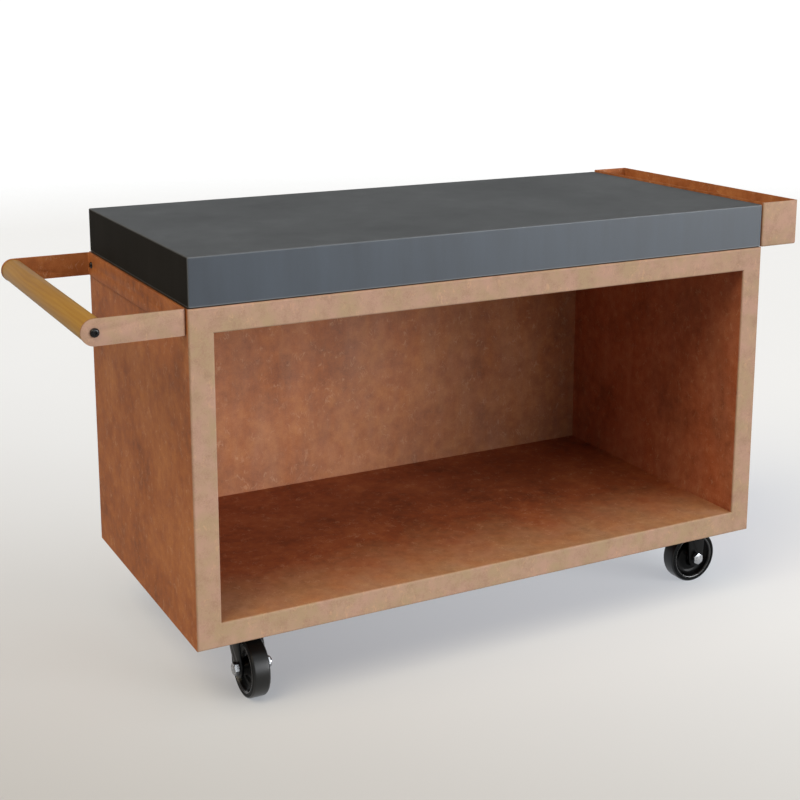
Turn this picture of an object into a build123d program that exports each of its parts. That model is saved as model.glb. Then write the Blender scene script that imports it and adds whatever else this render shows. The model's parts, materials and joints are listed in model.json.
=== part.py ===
from build123d import *
import os

# A mobile outdoor prep table. Millimetres, +Z up. The origin is on the floor, under the middle of the
# overall length and depth. The open front faces -Y, with the handle at the -X end and the planter at
# the +X end.

# Cabinet: hollow walls folded from weathering steel, open at the front
cabinet_length = 1350
cabinet_depth = 650
cabinet_height = 670
wall_width = 50  # thickness of a hollow wall, seen as the frame round the opening
sheet = 3  # weathering steel sheet
sheet_bend = 1  # inside radius of a fold
stiffener_width = 30
stiffener_sheet = 2
stiffener_setback = 12  # from the front return and the back panel
floor_stiffener_spacing = 330

# Worktop: mitred slabs glued round a channel frame
worktop_height = 96  # cabinet top to worktop surface
worktop_inset = 2  # from the cabinet's outline
slab = 12  # thickness of one slab
slab_edge_radius = 3
shadow_gap = 2  # under the aprons
glue_gap = 0.5  # from the aprons to the frame
channel_flange = 30
channel_sheet = 3
cross_member_spacing = 420
worktop_bolt_inset = 110  # from the ends of the frame

# Planter: a folded trough bolted to the right end of the worktop
planter_width = 100
planter_height = 100
drain_diameter = 10
drain_spacing = 130
planter_bolt_spacing = 240
planter_bolt_height = 45  # above the trough's underside
spacer_diameter = 20

# Handle: a strip bent to a U that holds a round bar
handle_reach = 195  # from the cabinet to the end of the arms
handle_inset = 8  # from the cabinet's front and back to the arms
strip_height = 50
strip = 5  # thickness of the strip
strip_bend = 3  # inside radius of its bends
bar_diameter = 48
bar_chamfer = 1
insert_diameter = 14
insert_length = 25
handle_bolt_offset = 20  # from the inner face of an arm

# Casters
wheel_diameter = 125
tyre_width = 38
tread_width = 26
tyre_shoulder = 6  # drop from the tread to the sidewall
tyre_depth = 10  # from the tread to the hub
rim_width = 35
rim_lip = 4
hub_web = 10
hub_boss_diameter = 32
sleeve_diameter = 21
fork_sheet = 5
fork_bend = 2
fork_clearance = 4  # tyre to each leg
axle_eye_radius = 20  # round lower end of a leg
crown_clearance = 12  # tyre to the swivel crown
crown_length = 60
crown_skirt = 14  # height of the straight part at the top of a leg
fixed_leg_width = 52
head_gap = 9  # from the crown to the plate, where the balls run
caster_plate_sheet = 4
caster_plate_length = 105
caster_plate_width = 85
caster_plate_corner = 8
caster_hole_length = 80
caster_hole_width = 60
swivel_trail = 40
swivel_inset_x = 137
swivel_inset_y = 118
fixed_inset_x = 70
fixed_inset_y = 122
race_radius = 25
race_boss_width = 12
race_boss_height = 2.5
ball_diameter = 7.6
ball_count = 12
kingpin_diameter = 12
kingpin_head_diameter = 22
kingpin_head = 2
kingpin_foot_diameter = 24
kingpin_foot = 5
backing_plate = 6  # thickness of the plate inside the bottom wall
backing_margin = 10  # beyond the caster plate on each side

# Fasteners
bolt_diameter = 8
bolt_hole = 9
bolt_flats = 13
bolt_head = 5.3
bolt_nut = 6.5
bolt_tail = 2  # thread beyond a nut
button_diameter = 14
button_head = 4.4
button_socket = 5
axle_diameter = 16
axle_flats = 24
axle_head = 10
axle_nut = 13
axle_face_diameter = 22.5  # round face under a head or nut
axle_face = 0.8
bar_screw_diameter = 10
bar_screw_hole = 10.5
bar_screw_length = 22
bar_button_diameter = 17.5
bar_button_head = 5.5
bar_button_socket = 6

# Fits
running_fit = 0.08  # radial, hub on sleeve and fork on kingpin
thrust_gap = 0.3  # end play of a hub and of a fork
ball_fit = 0.1  # ball to groove
thread_gap = 0.1  # radial, where a thread would engage

# Places
overall_length = handle_reach + cabinet_length + planter_width
cabinet_left = -overall_length / 2 + handle_reach
cabinet_right = cabinet_left + cabinet_length
cabinet_middle = (cabinet_left + cabinet_right) / 2
cabinet_front = -cabinet_depth / 2
cabinet_back = cabinet_depth / 2
crown_underside = wheel_diameter + crown_clearance
crown_top = crown_underside + fork_sheet
plate_underside = crown_top + head_gap
cabinet_bottom = plate_underside + caster_plate_sheet
cabinet_top = cabinet_bottom + cabinet_height
cabinet_mid_height = (cabinet_bottom + cabinet_top) / 2
wall_depth = cabinet_depth - sheet
cavity = wall_width - 2 * sheet
worktop_length = cabinet_length - 2 * worktop_inset
worktop_width = cabinet_depth - 2 * worktop_inset
worktop_surface = cabinet_top + worktop_height
apron_bottom = cabinet_top + shadow_gap
frame_length = worktop_length - 2 * (slab + glue_gap)
frame_width = worktop_width - 2 * (slab + glue_gap)
frame_height = worktop_height - slab
arm_end_radius = strip_height / 2
bar_x = cabinet_left - handle_reach + arm_end_radius
bar_z = cabinet_top - strip_height / 2
arm_span = cabinet_depth - 2 * handle_inset
bar_length = arm_span - 2 * strip
axle_height = wheel_diameter / 2
fork_gap = tyre_width + 2 * fork_clearance
fork_width = fork_gap + 2 * fork_sheet
swivel_x = cabinet_left + swivel_inset_x
fixed_x = cabinet_right - fixed_inset_x

LEFT, RIGHT = Vector(-1, 0, 0), Vector(1, 0, 0)
FRONT, BACK = Vector(0, -1, 0), Vector(0, 1, 0)
DOWN, UP = Vector(0, 0, -1), Vector(0, 0, 1)

# Each caster: the middle of its plate and the way its wheel trails or rolls
swivel_casters = {
    "front_left": (Vector(swivel_x, cabinet_front + swivel_inset_y, 0), FRONT),
    "back_left": (Vector(swivel_x, cabinet_back - swivel_inset_y, 0), FRONT),
}
fixed_casters = {
    "front_right": (Vector(fixed_x, cabinet_front + fixed_inset_y, 0), RIGHT),
    "back_right": (Vector(fixed_x, cabinet_back - fixed_inset_y, 0), RIGHT),
}
casters = {**swivel_casters, **fixed_casters}


def save(piece, name):
    """Label a finished piece and write its file."""
    piece.part.label = name
    export_step(piece.part, f"parts/{name}.step")


def facing_front(y):
    """Upright plane at depth y whose sketches read as seen from the front, x along X and y along Z."""
    return Plane(origin=(0, y, 0), x_dir=RIGHT, z_dir=FRONT)


def caster_plane(centre, roll, z):
    """Level plane over a caster, its x along the way the wheel rolls."""
    return Plane(origin=centre + UP * z, x_dir=roll, z_dir=UP)


def level_points(points):
    """The x and y of each point, for a sketch on a level plane."""
    return [(point.X, point.Y) for point in points]


# Where bolts go through
def caster_holes(centre, roll):
    """The four hole centres of a caster's plate."""
    across = UP.cross(roll)
    return [
        centre + roll * (i * caster_hole_length / 2) + across * (j * caster_hole_width / 2)
        for i in (-1, 1)
        for j in (-1, 1)
    ]


caster_bolt_points = [hole for centre, roll in casters.values() for hole in caster_holes(centre, roll)]
worktop_bolt_pitch = frame_length / 2 - worktop_bolt_inset
worktop_bolt_points = [
    Vector(cabinet_middle + i * worktop_bolt_pitch, j * (frame_width - channel_flange) / 2, cabinet_top)
    for i in (-1, 0, 1)
    for j in (-1, 1)
]
planter_bolt_points = [
    Vector(cabinet_right, i * planter_bolt_spacing, cabinet_top + planter_bolt_height) for i in (-1, 0, 1)
]
handle_bolt_points = [
    Vector(cabinet_left, side * (bar_length / 2 - handle_bolt_offset), bar_z) for side in (-1, 1)
]


def hex_bolts(name, seats, grip):
    """Upright hexagon bolts, each head under its seat and each shank going up through its nut."""
    with BuildPart() as bolts:
        with BuildSketch(*[Plane(origin=seat, z_dir=DOWN) for seat in seats]):
            RegularPolygon(bolt_flats / 2, 6, major_radius=False)
        extrude(amount=bolt_head)
        with BuildSketch(*[Plane(origin=seat, z_dir=UP) for seat in seats]):
            Circle(bolt_diameter / 2)
        extrude(amount=grip + bolt_nut + bolt_tail)
    save(bolts, name)


def hex_nuts(name, seats, direction):
    """Hexagon nuts, each standing on its seat."""
    with BuildPart() as nuts:
        with BuildSketch(*[Plane(origin=seat, z_dir=direction) for seat in seats]):
            RegularPolygon(bolt_flats / 2, 6, major_radius=False)
            Circle(bolt_diameter / 2 + thread_gap, mode=Mode.SUBTRACT)
        extrude(amount=bolt_nut)
    save(nuts, name)


def button_screws(name, seats, shank, length, head_diameter, head, socket):
    """Button-head socket screws, each seat a point and the level direction in which the screw is driven."""
    with BuildPart() as screws:
        for seat, direction in seats:
            with BuildSketch(Plane(origin=seat, x_dir=direction, z_dir=UP)):
                with BuildLine():
                    Polyline((-head, socket), (-head, 0), (length, 0), (length, shank / 2), (0, shank / 2),
                             (0, head_diameter / 2))
                    TangentArc((0, head_diameter / 2), (-head, socket), tangent=(-1, 0))
                make_face()
            revolve(axis=Axis(seat, direction))
            with BuildSketch(Plane(origin=seat - direction * head, z_dir=direction)):
                RegularPolygon(socket / 2, 6, major_radius=False)
            extrude(amount=head / 2, mode=Mode.SUBTRACT)
    save(screws, name)


# Cabinet
def folded_wall(name, edge, inward, along, length, holes=()):
    """A hollow wall folded from one sheet: outer skin, front return and inner skin, mitred at both ends.

    The edge is the middle of the wall's front outer edge, and holes are drilled through the outer skin.
    """
    section = Plane(origin=edge, x_dir=inward, z_dir=along)
    skin = Plane(origin=edge, x_dir=BACK, z_dir=inward)
    with BuildPart() as wall:
        with BuildSketch(section) as fold:
            with Locations((wall_width / 2, wall_depth / 2)):
                Rectangle(wall_width, wall_depth)
            with Locations((wall_width / 2, wall_depth / 2 + sheet)):
                Rectangle(cavity, wall_depth, mode=Mode.SUBTRACT)
            fillet(fold.vertices().group_by(Axis.Y)[1], radius=sheet_bend)
            fillet(fold.vertices().group_by(Axis.Y)[0], radius=sheet_bend + sheet)
        extrude(amount=length / 2, both=True)
        for end in (along, -along):
            split(bisect_by=Plane(origin=edge + end * (length / 2), z_dir=inward + end), keep=Keep.BOTTOM)
        if holes:
            with BuildSketch(skin):
                with Locations(*level_points([skin.to_local_coords(hole) for hole in holes])):
                    Circle(bolt_hole / 2)
            extrude(amount=sheet, mode=Mode.SUBTRACT)
    save(wall, name)


def back_panel():
    """The sheet that closes the back of the walls."""
    with BuildPart() as panel:
        with BuildSketch(facing_front(cabinet_back)):
            with Locations((cabinet_middle, cabinet_mid_height)):
                Rectangle(cabinet_length, cabinet_height)
        extrude(amount=sheet)
    save(panel, "cabinet_back_panel")


def stiffeners(name, places, height):
    """Folded channels across a wall's cavity, from its front return to the back panel."""
    with BuildPart() as channels:
        with BuildSketch(facing_front(cabinet_front + stiffener_setback)):
            with Locations(*[(x, height) for x in places]):
                Rectangle(stiffener_width, cavity)
            with Locations(*[(x + stiffener_sheet, height) for x in places]):
                Rectangle(stiffener_width, cavity - 2 * stiffener_sheet, mode=Mode.SUBTRACT)
        extrude(amount=2 * stiffener_setback - cabinet_depth)
    save(channels, name)


def caster_backing_plates():
    """Thick plates on the lower skin that spread the load of each caster."""
    with BuildPart() as plates:
        for centre, roll in casters.values():
            with BuildSketch(caster_plane(centre, roll, cabinet_bottom + sheet)):
                Rectangle(caster_plate_length + 2 * backing_margin, caster_plate_width + 2 * backing_margin)
                with GridLocations(caster_hole_length, caster_hole_width, 2, 2):
                    Circle(bolt_hole / 2, mode=Mode.SUBTRACT)
            extrude(amount=backing_plate)
    save(plates, "caster_backing_plates")


def cabinet():
    """The welded cabinet and what is inside its walls."""
    left = Vector(cabinet_left, cabinet_front, cabinet_mid_height)
    right = Vector(cabinet_right, cabinet_front, cabinet_mid_height)
    top = Vector(cabinet_middle, cabinet_front, cabinet_top)
    bottom = Vector(cabinet_middle, cabinet_front, cabinet_bottom)
    folded_wall("cabinet_left_wall", left, RIGHT, UP, cabinet_height, handle_bolt_points)
    folded_wall("cabinet_right_wall", right, LEFT, DOWN, cabinet_height)
    folded_wall("cabinet_top_wall", top, DOWN, RIGHT, cabinet_length, worktop_bolt_points)
    folded_wall("cabinet_bottom_wall", bottom, UP, LEFT, cabinet_length, caster_bolt_points)
    back_panel()
    floor_places = [cabinet_middle + i * floor_stiffener_spacing for i in (-1, 0, 1)]
    roof_places = [cabinet_middle + i * worktop_bolt_pitch / 2 for i in (-1, 1)]
    stiffeners("floor_stiffeners", floor_places, cabinet_bottom + wall_width / 2)
    stiffeners("roof_stiffeners", roof_places, cabinet_top - wall_width / 2)
    caster_backing_plates()
    caster_grip = caster_plate_sheet + sheet + backing_plate
    head_seats = [point + UP * plate_underside for point in caster_bolt_points]
    hex_bolts("caster_plate_bolts", head_seats, caster_grip)
    hex_nuts("caster_plate_nuts", [seat + UP * caster_grip for seat in head_seats], UP)


# Worktop
def worktop_shell():
    """All the slabs as one eased shell, open underneath, ready to be cut along its mitres."""
    with BuildPart() as shell:
        with BuildSketch(Plane.XY.offset(apron_bottom)):
            with Locations((cabinet_middle, 0)):
                Rectangle(worktop_length, worktop_width)
        extrude(amount=worktop_surface - apron_bottom)
        eased = shell.edges().filter_by(Axis.Z) + shell.faces().sort_by(Axis.Z)[-1].edges()
        fillet(eased, radius=slab_edge_radius)
        with BuildSketch(Plane.XY.offset(apron_bottom)):
            with Locations((cabinet_middle, 0)):
                Rectangle(worktop_length - 2 * slab, worktop_width - 2 * slab)
        extrude(amount=worktop_surface - slab - apron_bottom, mode=Mode.SUBTRACT)
    return shell.part


def worktop_side(outward):
    """The point of the worktop's surface in the middle of one of its top edges."""
    middle = Vector(cabinet_middle, 0, worktop_surface)
    reach = worktop_length / 2 if outward.X else worktop_width / 2
    return middle + outward * reach


def worktop_slabs():
    """The top panel and the four aprons, mitred where they meet."""
    shell = worktop_shell()
    sides = {"front": FRONT, "back": BACK, "left": LEFT, "right": RIGHT}
    with BuildPart() as panel:
        add(shell)
        for outward in sides.values():
            split(bisect_by=Plane(origin=worktop_side(outward), z_dir=outward + DOWN), keep=Keep.BOTTOM)
    save(panel, "worktop_panel")
    for side, outward in sides.items():
        with BuildPart() as apron:
            add(shell)
            split(bisect_by=Plane(origin=worktop_side(outward), z_dir=outward + DOWN), keep=Keep.TOP)
            for turn in (1, -1):
                neighbour = outward.cross(UP) * turn
                corner = worktop_side(outward) + worktop_side(neighbour) - worktop_side(Vector())
                split(bisect_by=Plane(origin=corner, z_dir=outward - neighbour), keep=Keep.TOP)
            if outward == RIGHT:
                with BuildSketch(*[Plane(origin=point, z_dir=LEFT) for point in planter_bolt_points]):
                    Circle(bolt_hole / 2)
                extrude(amount=worktop_inset + slab, mode=Mode.SUBTRACT)
        save(apron, f"worktop_{side}_apron")


def worktop_frame():
    """The welded channel frame that carries the panel, its channels open towards the middle."""
    frame_middle = cabinet_top + frame_height / 2
    cross_members = [(cabinet_middle + i * cross_member_spacing / 2, frame_middle) for i in (-1, 1)]
    with BuildPart() as frame:
        with BuildSketch(Plane.XY.offset(cabinet_top)):
            with Locations((cabinet_middle, 0)):
                Rectangle(frame_length, frame_width)
                offset(amount=-channel_flange, kind=Kind.INTERSECTION, mode=Mode.SUBTRACT)
        extrude(amount=frame_height)
        with BuildSketch(Plane.XY.offset(cabinet_top + channel_sheet)):
            with Locations((cabinet_middle, 0)):
                Rectangle(frame_length - 2 * channel_sheet, frame_width - 2 * channel_sheet)
        extrude(amount=frame_height - 2 * channel_sheet, mode=Mode.SUBTRACT)
        with BuildSketch(facing_front(-frame_width / 2 + channel_sheet)):
            with Locations(*cross_members):
                Rectangle(channel_flange, frame_height)
            with Locations(*[(x + channel_sheet, z) for x, z in cross_members]):
                Rectangle(channel_flange, frame_height - 2 * channel_sheet, mode=Mode.SUBTRACT)
        extrude(amount=2 * channel_sheet - frame_width)
        with BuildSketch(Plane.XY.offset(cabinet_top)):
            with Locations(*level_points(worktop_bolt_points)):
                Circle(bolt_hole / 2)
        extrude(amount=channel_sheet, mode=Mode.SUBTRACT)
        with BuildSketch(*[Plane(origin=point, z_dir=LEFT) for point in planter_bolt_points]):
            Circle(bolt_hole / 2)
        extrude(amount=worktop_inset + slab + glue_gap + channel_sheet, mode=Mode.SUBTRACT)
    save(frame, "worktop_frame")


def worktop():
    """The slabs, their frame and the bolts that hold it to the cabinet."""
    worktop_slabs()
    worktop_frame()
    head_seats = [point + DOWN * sheet for point in worktop_bolt_points]
    hex_bolts("worktop_bolts", head_seats, sheet + channel_sheet)
    hex_nuts("worktop_nuts", [point + UP * channel_sheet for point in worktop_bolt_points], UP)


# Planter
def planter_trough():
    """The open trough, with drain holes along its floor and bolt holes in the wall beside the worktop."""
    planter_middle = cabinet_right + planter_width / 2
    with BuildPart() as trough:
        with BuildSketch(Plane.XY.offset(cabinet_top)):
            with Locations((planter_middle, 0)):
                Rectangle(planter_width, cabinet_depth)
        extrude(amount=planter_height)
        folds = trough.edges().filter_by(Axis.Z) + trough.faces().sort_by(Axis.Z)[0].edges()
        fillet(folds, radius=sheet + sheet_bend)
        rim = trough.faces().sort_by(Axis.Z)[-1]
        offset(amount=-sheet, openings=rim)
        with BuildSketch(Plane.XY.offset(cabinet_top)):
            with Locations(*[(planter_middle, i * drain_spacing) for i in (-2, -1, 0, 1, 2)]):
                Circle(drain_diameter / 2)
        extrude(amount=sheet, mode=Mode.SUBTRACT)
        with BuildSketch(*[Plane(origin=point, z_dir=RIGHT) for point in planter_bolt_points]):
            Circle(bolt_hole / 2)
        extrude(amount=sheet, mode=Mode.SUBTRACT)
    save(trough, "planter_trough")


def planter():
    """The trough and the bolts that hang it on the worktop's frame."""
    planter_trough()
    with BuildPart() as spacers:
        with BuildSketch(*[Plane(origin=point, z_dir=LEFT) for point in planter_bolt_points]):
            Circle(spacer_diameter / 2)
            Circle(bolt_hole / 2, mode=Mode.SUBTRACT)
        extrude(amount=worktop_inset)
    save(spacers, "planter_spacers")
    nut_depth = worktop_inset + slab + glue_gap + channel_sheet
    button_screws(
        "planter_bolts",
        [(point + RIGHT * sheet, LEFT) for point in planter_bolt_points],
        bolt_diameter,
        sheet + nut_depth + bolt_nut + bolt_tail,
        button_diameter,
        button_head,
        button_socket,
    )
    hex_nuts("planter_nuts", [point + LEFT * nut_depth for point in planter_bolt_points], LEFT)


# Handle
def handle_bracket():
    """The U-bent strip: a back plate against the cabinet and two arms with round ends."""
    with BuildPart() as bracket:
        with BuildSketch(Plane.XY.offset(cabinet_top - strip_height)) as bend:
            with Locations((cabinet_left - handle_reach / 2, 0)):
                Rectangle(handle_reach, arm_span)
            with Locations((cabinet_left - strip - handle_reach / 2, 0)):
                Rectangle(handle_reach, bar_length, mode=Mode.SUBTRACT)
            fillet(bend.vertices().group_by(Axis.X)[1], radius=strip_bend)
            fillet(bend.vertices().group_by(Axis.X)[-1], radius=strip_bend + strip)
        extrude(amount=strip_height)
        with BuildSketch(facing_front(0)):
            with Locations(((bar_x + cabinet_left) / 2, bar_z)):
                Rectangle(cabinet_left - bar_x, strip_height)
            with Locations((bar_x, bar_z)):
                Circle(arm_end_radius)
                Circle(bar_screw_hole / 2, mode=Mode.SUBTRACT)
        extrude(amount=cabinet_depth / 2, both=True, mode=Mode.INTERSECT)
        with BuildSketch(*[Plane(origin=point, z_dir=LEFT) for point in handle_bolt_points]):
            Circle(bolt_hole / 2)
        extrude(amount=strip, mode=Mode.SUBTRACT)
    save(bracket, "handle_bracket")


def handle_bar():
    """The round wooden bar, bored at both ends for its threaded inserts."""
    with BuildPart() as bar:
        with BuildSketch(facing_front(-bar_length / 2)):
            with Locations((bar_x, bar_z)):
                Circle(bar_diameter / 2)
        extrude(amount=-bar_length)
        chamfer(bar.edges().filter_by(GeomType.CIRCLE), length=bar_chamfer)
        for end in (FRONT, BACK):
            with BuildSketch(Plane(origin=Vector(bar_x, 0, bar_z) + end * (bar_length / 2), z_dir=-end)):
                Circle(insert_diameter / 2)
            extrude(amount=insert_length, mode=Mode.SUBTRACT)
    save(bar, "handle_bar")


def handle():
    """The bracket, its bar and their fasteners."""
    handle_bracket()
    handle_bar()
    bar_ends = [(Vector(bar_x, 0, bar_z) + end * (bar_length / 2), -end) for end in (FRONT, BACK)]
    with BuildPart() as inserts:
        with BuildSketch(*[Plane(origin=point, z_dir=inward) for point, inward in bar_ends]):
            Circle(insert_diameter / 2)
            Circle(bar_screw_diameter / 2 + thread_gap, mode=Mode.SUBTRACT)
        extrude(amount=insert_length)
    save(inserts, "handle_bar_inserts")
    button_screws(
        "handle_bar_screws",
        [(point - inward * strip, inward) for point, inward in bar_ends],
        bar_screw_diameter,
        bar_screw_length,
        bar_button_diameter,
        bar_button_head,
        bar_button_socket,
    )
    button_screws(
        "handle_bolts",
        [(point + LEFT * strip, RIGHT) for point in handle_bolt_points],
        bolt_diameter,
        strip + sheet + bolt_nut + bolt_tail,
        button_diameter,
        button_head,
        button_socket,
    )
    hex_nuts("handle_nuts", [point + RIGHT * sheet for point in handle_bolt_points], RIGHT)


# Casters
def caster_wheel(name, centre, roll):
    """A wheel on its axle line: a dished hub and the tyre round it, both turned about the axle."""
    axle = UP.cross(roll)
    section = Plane(origin=centre, x_dir=axle, z_dir=roll)
    seat_radius = axle_height - tyre_depth
    rim_radius = seat_radius - rim_lip
    boss_end = fork_gap / 2 - thrust_gap
    bore_radius = sleeve_diameter / 2 + running_fit
    boss_radius = hub_boss_diameter / 2
    web_radius = (boss_radius + rim_radius) / 2
    dish_start = (rim_width / 2 - rim_lip, boss_radius + rim_lip / 2)
    dish_end = (rim_width / 2 - rim_lip / 2, rim_radius)
    with BuildPart() as hub:
        with BuildSketch(section):
            with BuildLine():
                Polyline((0, bore_radius), (boss_end, bore_radius), (boss_end, boss_radius), dish_start)
                ThreePointArc(dish_start, (hub_web / 2, web_radius), dish_end)
                Polyline(dish_end, (rim_width / 2, rim_radius + rim_lip / 2), (rim_width / 2, seat_radius),
                         (0, seat_radius), (0, bore_radius))
            make_face()
            mirror(about=Plane.YZ)
        revolve(axis=Axis(centre, axle))
    save(hub, f"{name}_wheel_hub")
    with BuildPart() as tyre:
        with BuildSketch(section):
            with BuildLine():
                Polyline((0, axle_height), (0, seat_radius), (rim_width / 2, seat_radius),
                         (tyre_width / 2, seat_radius + (tyre_width - rim_width) / 2),
                         (tyre_width / 2, axle_height - tyre_shoulder))
                EllipticalCenterArc((tread_width / 2, axle_height - tyre_shoulder),
                                    (tyre_width - tread_width) / 2, tyre_shoulder, arc_size=90)
                Line((tread_width / 2, axle_height), (0, axle_height))
            make_face()
            mirror(about=Plane.YZ)
        revolve(axis=Axis(centre, axle))
    save(tyre, f"{name}_tyre")


def caster_axle(name, centre, roll):
    """The bolt, nut and sleeve that a wheel turns on, clamped between the legs of its fork."""
    axle = UP.cross(roll)
    head_seat = centre - axle * (fork_width / 2)
    nut_seat = centre + axle * (fork_width / 2)
    with BuildPart() as bolt:
        with BuildSketch(Plane(origin=head_seat, z_dir=-axle)):
            Circle(axle_face_diameter / 2)
        extrude(amount=axle_face)
        with BuildSketch(Plane(origin=head_seat - axle * axle_face, z_dir=-axle)):
            RegularPolygon(axle_flats / 2, 6, major_radius=False)
        extrude(amount=axle_head)
        with BuildSketch(Plane(origin=head_seat, z_dir=axle)):
            Circle(axle_diameter / 2)
        extrude(amount=fork_width + axle_face + axle_nut + bolt_tail)
    save(bolt, f"{name}_axle_bolt")
    with BuildPart() as nut:
        with BuildSketch(Plane(origin=nut_seat, z_dir=axle)):
            Circle(axle_face_diameter / 2)
        extrude(amount=axle_face)
        with BuildSketch(Plane(origin=nut_seat + axle * axle_face, z_dir=axle)):
            RegularPolygon(axle_flats / 2, 6, major_radius=False)
        extrude(amount=axle_nut)
        with BuildSketch(Plane(origin=nut_seat, z_dir=axle)):
            Circle(axle_diameter / 2 + thread_gap)
        extrude(amount=axle_face + axle_nut, mode=Mode.SUBTRACT)
    save(nut, f"{name}_axle_nut")
    with BuildPart() as sleeve:
        with BuildSketch(Plane(origin=centre, z_dir=axle)):
            Circle(sleeve_diameter / 2)
            Circle(axle_diameter / 2 + thread_gap, mode=Mode.SUBTRACT)
        extrude(amount=fork_gap / 2, both=True)
    save(sleeve, f"{name}_axle_sleeve")


def race_profile(surface, direction):
    """A ball race's boss, as an upright rectangle beside the swivel axis, standing on a surface."""
    return (race_radius, surface + direction * race_boss_height / 2), race_boss_width, race_boss_height


def swivel_caster(name, centre, trail):
    """A caster whose fork turns on a ball race under its plate, its wheel set back from the kingpin."""
    axle = UP.cross(trail)
    section = Plane(origin=centre, x_dir=axle, z_dir=trail)
    side = Plane(origin=centre, x_dir=trail, z_dir=-axle)
    kingpin_axis = Axis(centre, UP)
    ball_height = crown_top + head_gap / 2
    wheel_centre = centre + trail * swivel_trail + UP * axle_height
    boss_place, boss_width, boss_height = race_profile(plate_underside, -1)
    with BuildPart() as plate:
        with BuildSketch(caster_plane(centre, trail, plate_underside)):
            RectangleRounded(caster_plate_length, caster_plate_width, caster_plate_corner)
            with GridLocations(caster_hole_length, caster_hole_width, 2, 2):
                Circle(bolt_hole / 2, mode=Mode.SUBTRACT)
        extrude(amount=caster_plate_sheet)
        with BuildSketch(section):
            with Locations(boss_place):
                Rectangle(boss_width, boss_height)
        revolve(axis=kingpin_axis)
        with BuildSketch(section):
            with Locations((race_radius, ball_height)):
                Circle(ball_diameter / 2 + ball_fit)
        revolve(axis=kingpin_axis, mode=Mode.SUBTRACT)
        with Locations(caster_plane(centre, trail, cabinet_bottom)):
            CounterBoreHole(kingpin_diameter / 2, kingpin_head_diameter / 2, kingpin_head)
    save(plate, f"{name}_caster_plate")
    with BuildPart() as kingpin:
        with BuildSketch(caster_plane(centre, trail, cabinet_bottom)):
            Circle(kingpin_head_diameter / 2)
        extrude(amount=-kingpin_head)
        with BuildSketch(caster_plane(centre, trail, cabinet_bottom)):
            Circle(kingpin_diameter / 2)
        extrude(amount=crown_underside - cabinet_bottom - thrust_gap)
        with BuildSketch(caster_plane(centre, trail, crown_underside - thrust_gap)):
            Circle(kingpin_foot_diameter / 2)
        extrude(amount=-kingpin_foot)
        fillet(kingpin.edges().sort_by(Axis.Z)[0], radius=kingpin_foot / 2)
    save(kingpin, f"{name}_kingpin")
    with BuildPart(caster_plane(centre, trail, ball_height)) as balls:
        with PolarLocations(race_radius, ball_count):
            Sphere(ball_diameter / 2)
    save(balls, f"{name}_bearing_balls")
    boss_place, boss_width, boss_height = race_profile(crown_top, 1)
    with BuildPart() as fork:
        with BuildSketch(section) as bend:
            with Locations((0, crown_top / 2)):
                Rectangle(fork_width, crown_top)
            with Locations((0, crown_underside / 2)):
                Rectangle(fork_gap, crown_underside, mode=Mode.SUBTRACT)
            fillet(bend.vertices().group_by(Axis.Y)[1], radius=fork_bend)
            fillet(bend.vertices().group_by(Axis.Y)[-1], radius=fork_bend + fork_sheet)
        extrude(amount=swivel_trail + crown_length, both=True)
        with BuildSketch(side):
            with Locations((swivel_trail, axle_height)):
                Circle(axle_eye_radius)
            with Locations((0, crown_top - crown_skirt / 2)):
                Rectangle(crown_length, crown_skirt)
            make_hull()
        extrude(amount=fork_width, both=True, mode=Mode.INTERSECT)
        with BuildSketch(section):
            with Locations(boss_place):
                Rectangle(boss_width, boss_height)
        revolve(axis=kingpin_axis)
        with BuildSketch(section):
            with Locations((race_radius, ball_height)):
                Circle(ball_diameter / 2 + ball_fit)
        revolve(axis=kingpin_axis, mode=Mode.SUBTRACT)
        with Locations(caster_plane(centre, trail, crown_top)):
            Hole(kingpin_diameter / 2 + running_fit)
        with BuildSketch(Plane(origin=wheel_centre, z_dir=axle)):
            Circle(axle_diameter / 2 + thread_gap)
        extrude(amount=fork_width, both=True, mode=Mode.SUBTRACT)
    save(fork, f"{name}_fork")
    caster_axle(name, wheel_centre, trail)
    caster_wheel(name, wheel_centre, trail)


def fixed_caster(name, centre, roll):
    """A caster whose fork is welded under its plate."""
    axle = UP.cross(roll)
    section = Plane(origin=centre, x_dir=axle, z_dir=roll)
    side = Plane(origin=centre, x_dir=roll, z_dir=-axle)
    wheel_centre = centre + UP * axle_height
    web_underside = plate_underside - fork_sheet
    with BuildPart() as fork:
        with BuildSketch(section) as bend:
            with Locations((0, plate_underside / 2)):
                Rectangle(fork_width, plate_underside)
            with Locations((0, web_underside / 2)):
                Rectangle(fork_gap, web_underside, mode=Mode.SUBTRACT)
            fillet(bend.vertices().group_by(Axis.Y)[1], radius=fork_bend)
            fillet(bend.vertices().group_by(Axis.Y)[-1], radius=fork_bend + fork_sheet)
        extrude(amount=fixed_leg_width, both=True)
        with BuildSketch(side):
            with Locations((0, axle_height)):
                Circle(axle_eye_radius)
            with Locations((0, plate_underside - crown_skirt / 2)):
                Rectangle(fixed_leg_width, crown_skirt)
            make_hull()
        extrude(amount=fork_width, both=True, mode=Mode.INTERSECT)
        with BuildSketch(caster_plane(centre, roll, plate_underside)):
            RectangleRounded(caster_plate_length, caster_plate_width, caster_plate_corner)
            with GridLocations(caster_hole_length, caster_hole_width, 2, 2):
                Circle(bolt_hole / 2, mode=Mode.SUBTRACT)
        extrude(amount=caster_plate_sheet)
        with BuildSketch(Plane(origin=wheel_centre, z_dir=axle)):
            Circle(axle_diameter / 2 + thread_gap)
        extrude(amount=fork_width, both=True, mode=Mode.SUBTRACT)
    save(fork, f"{name}_fork")
    caster_axle(name, wheel_centre, roll)
    caster_wheel(name, wheel_centre, roll)


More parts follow.
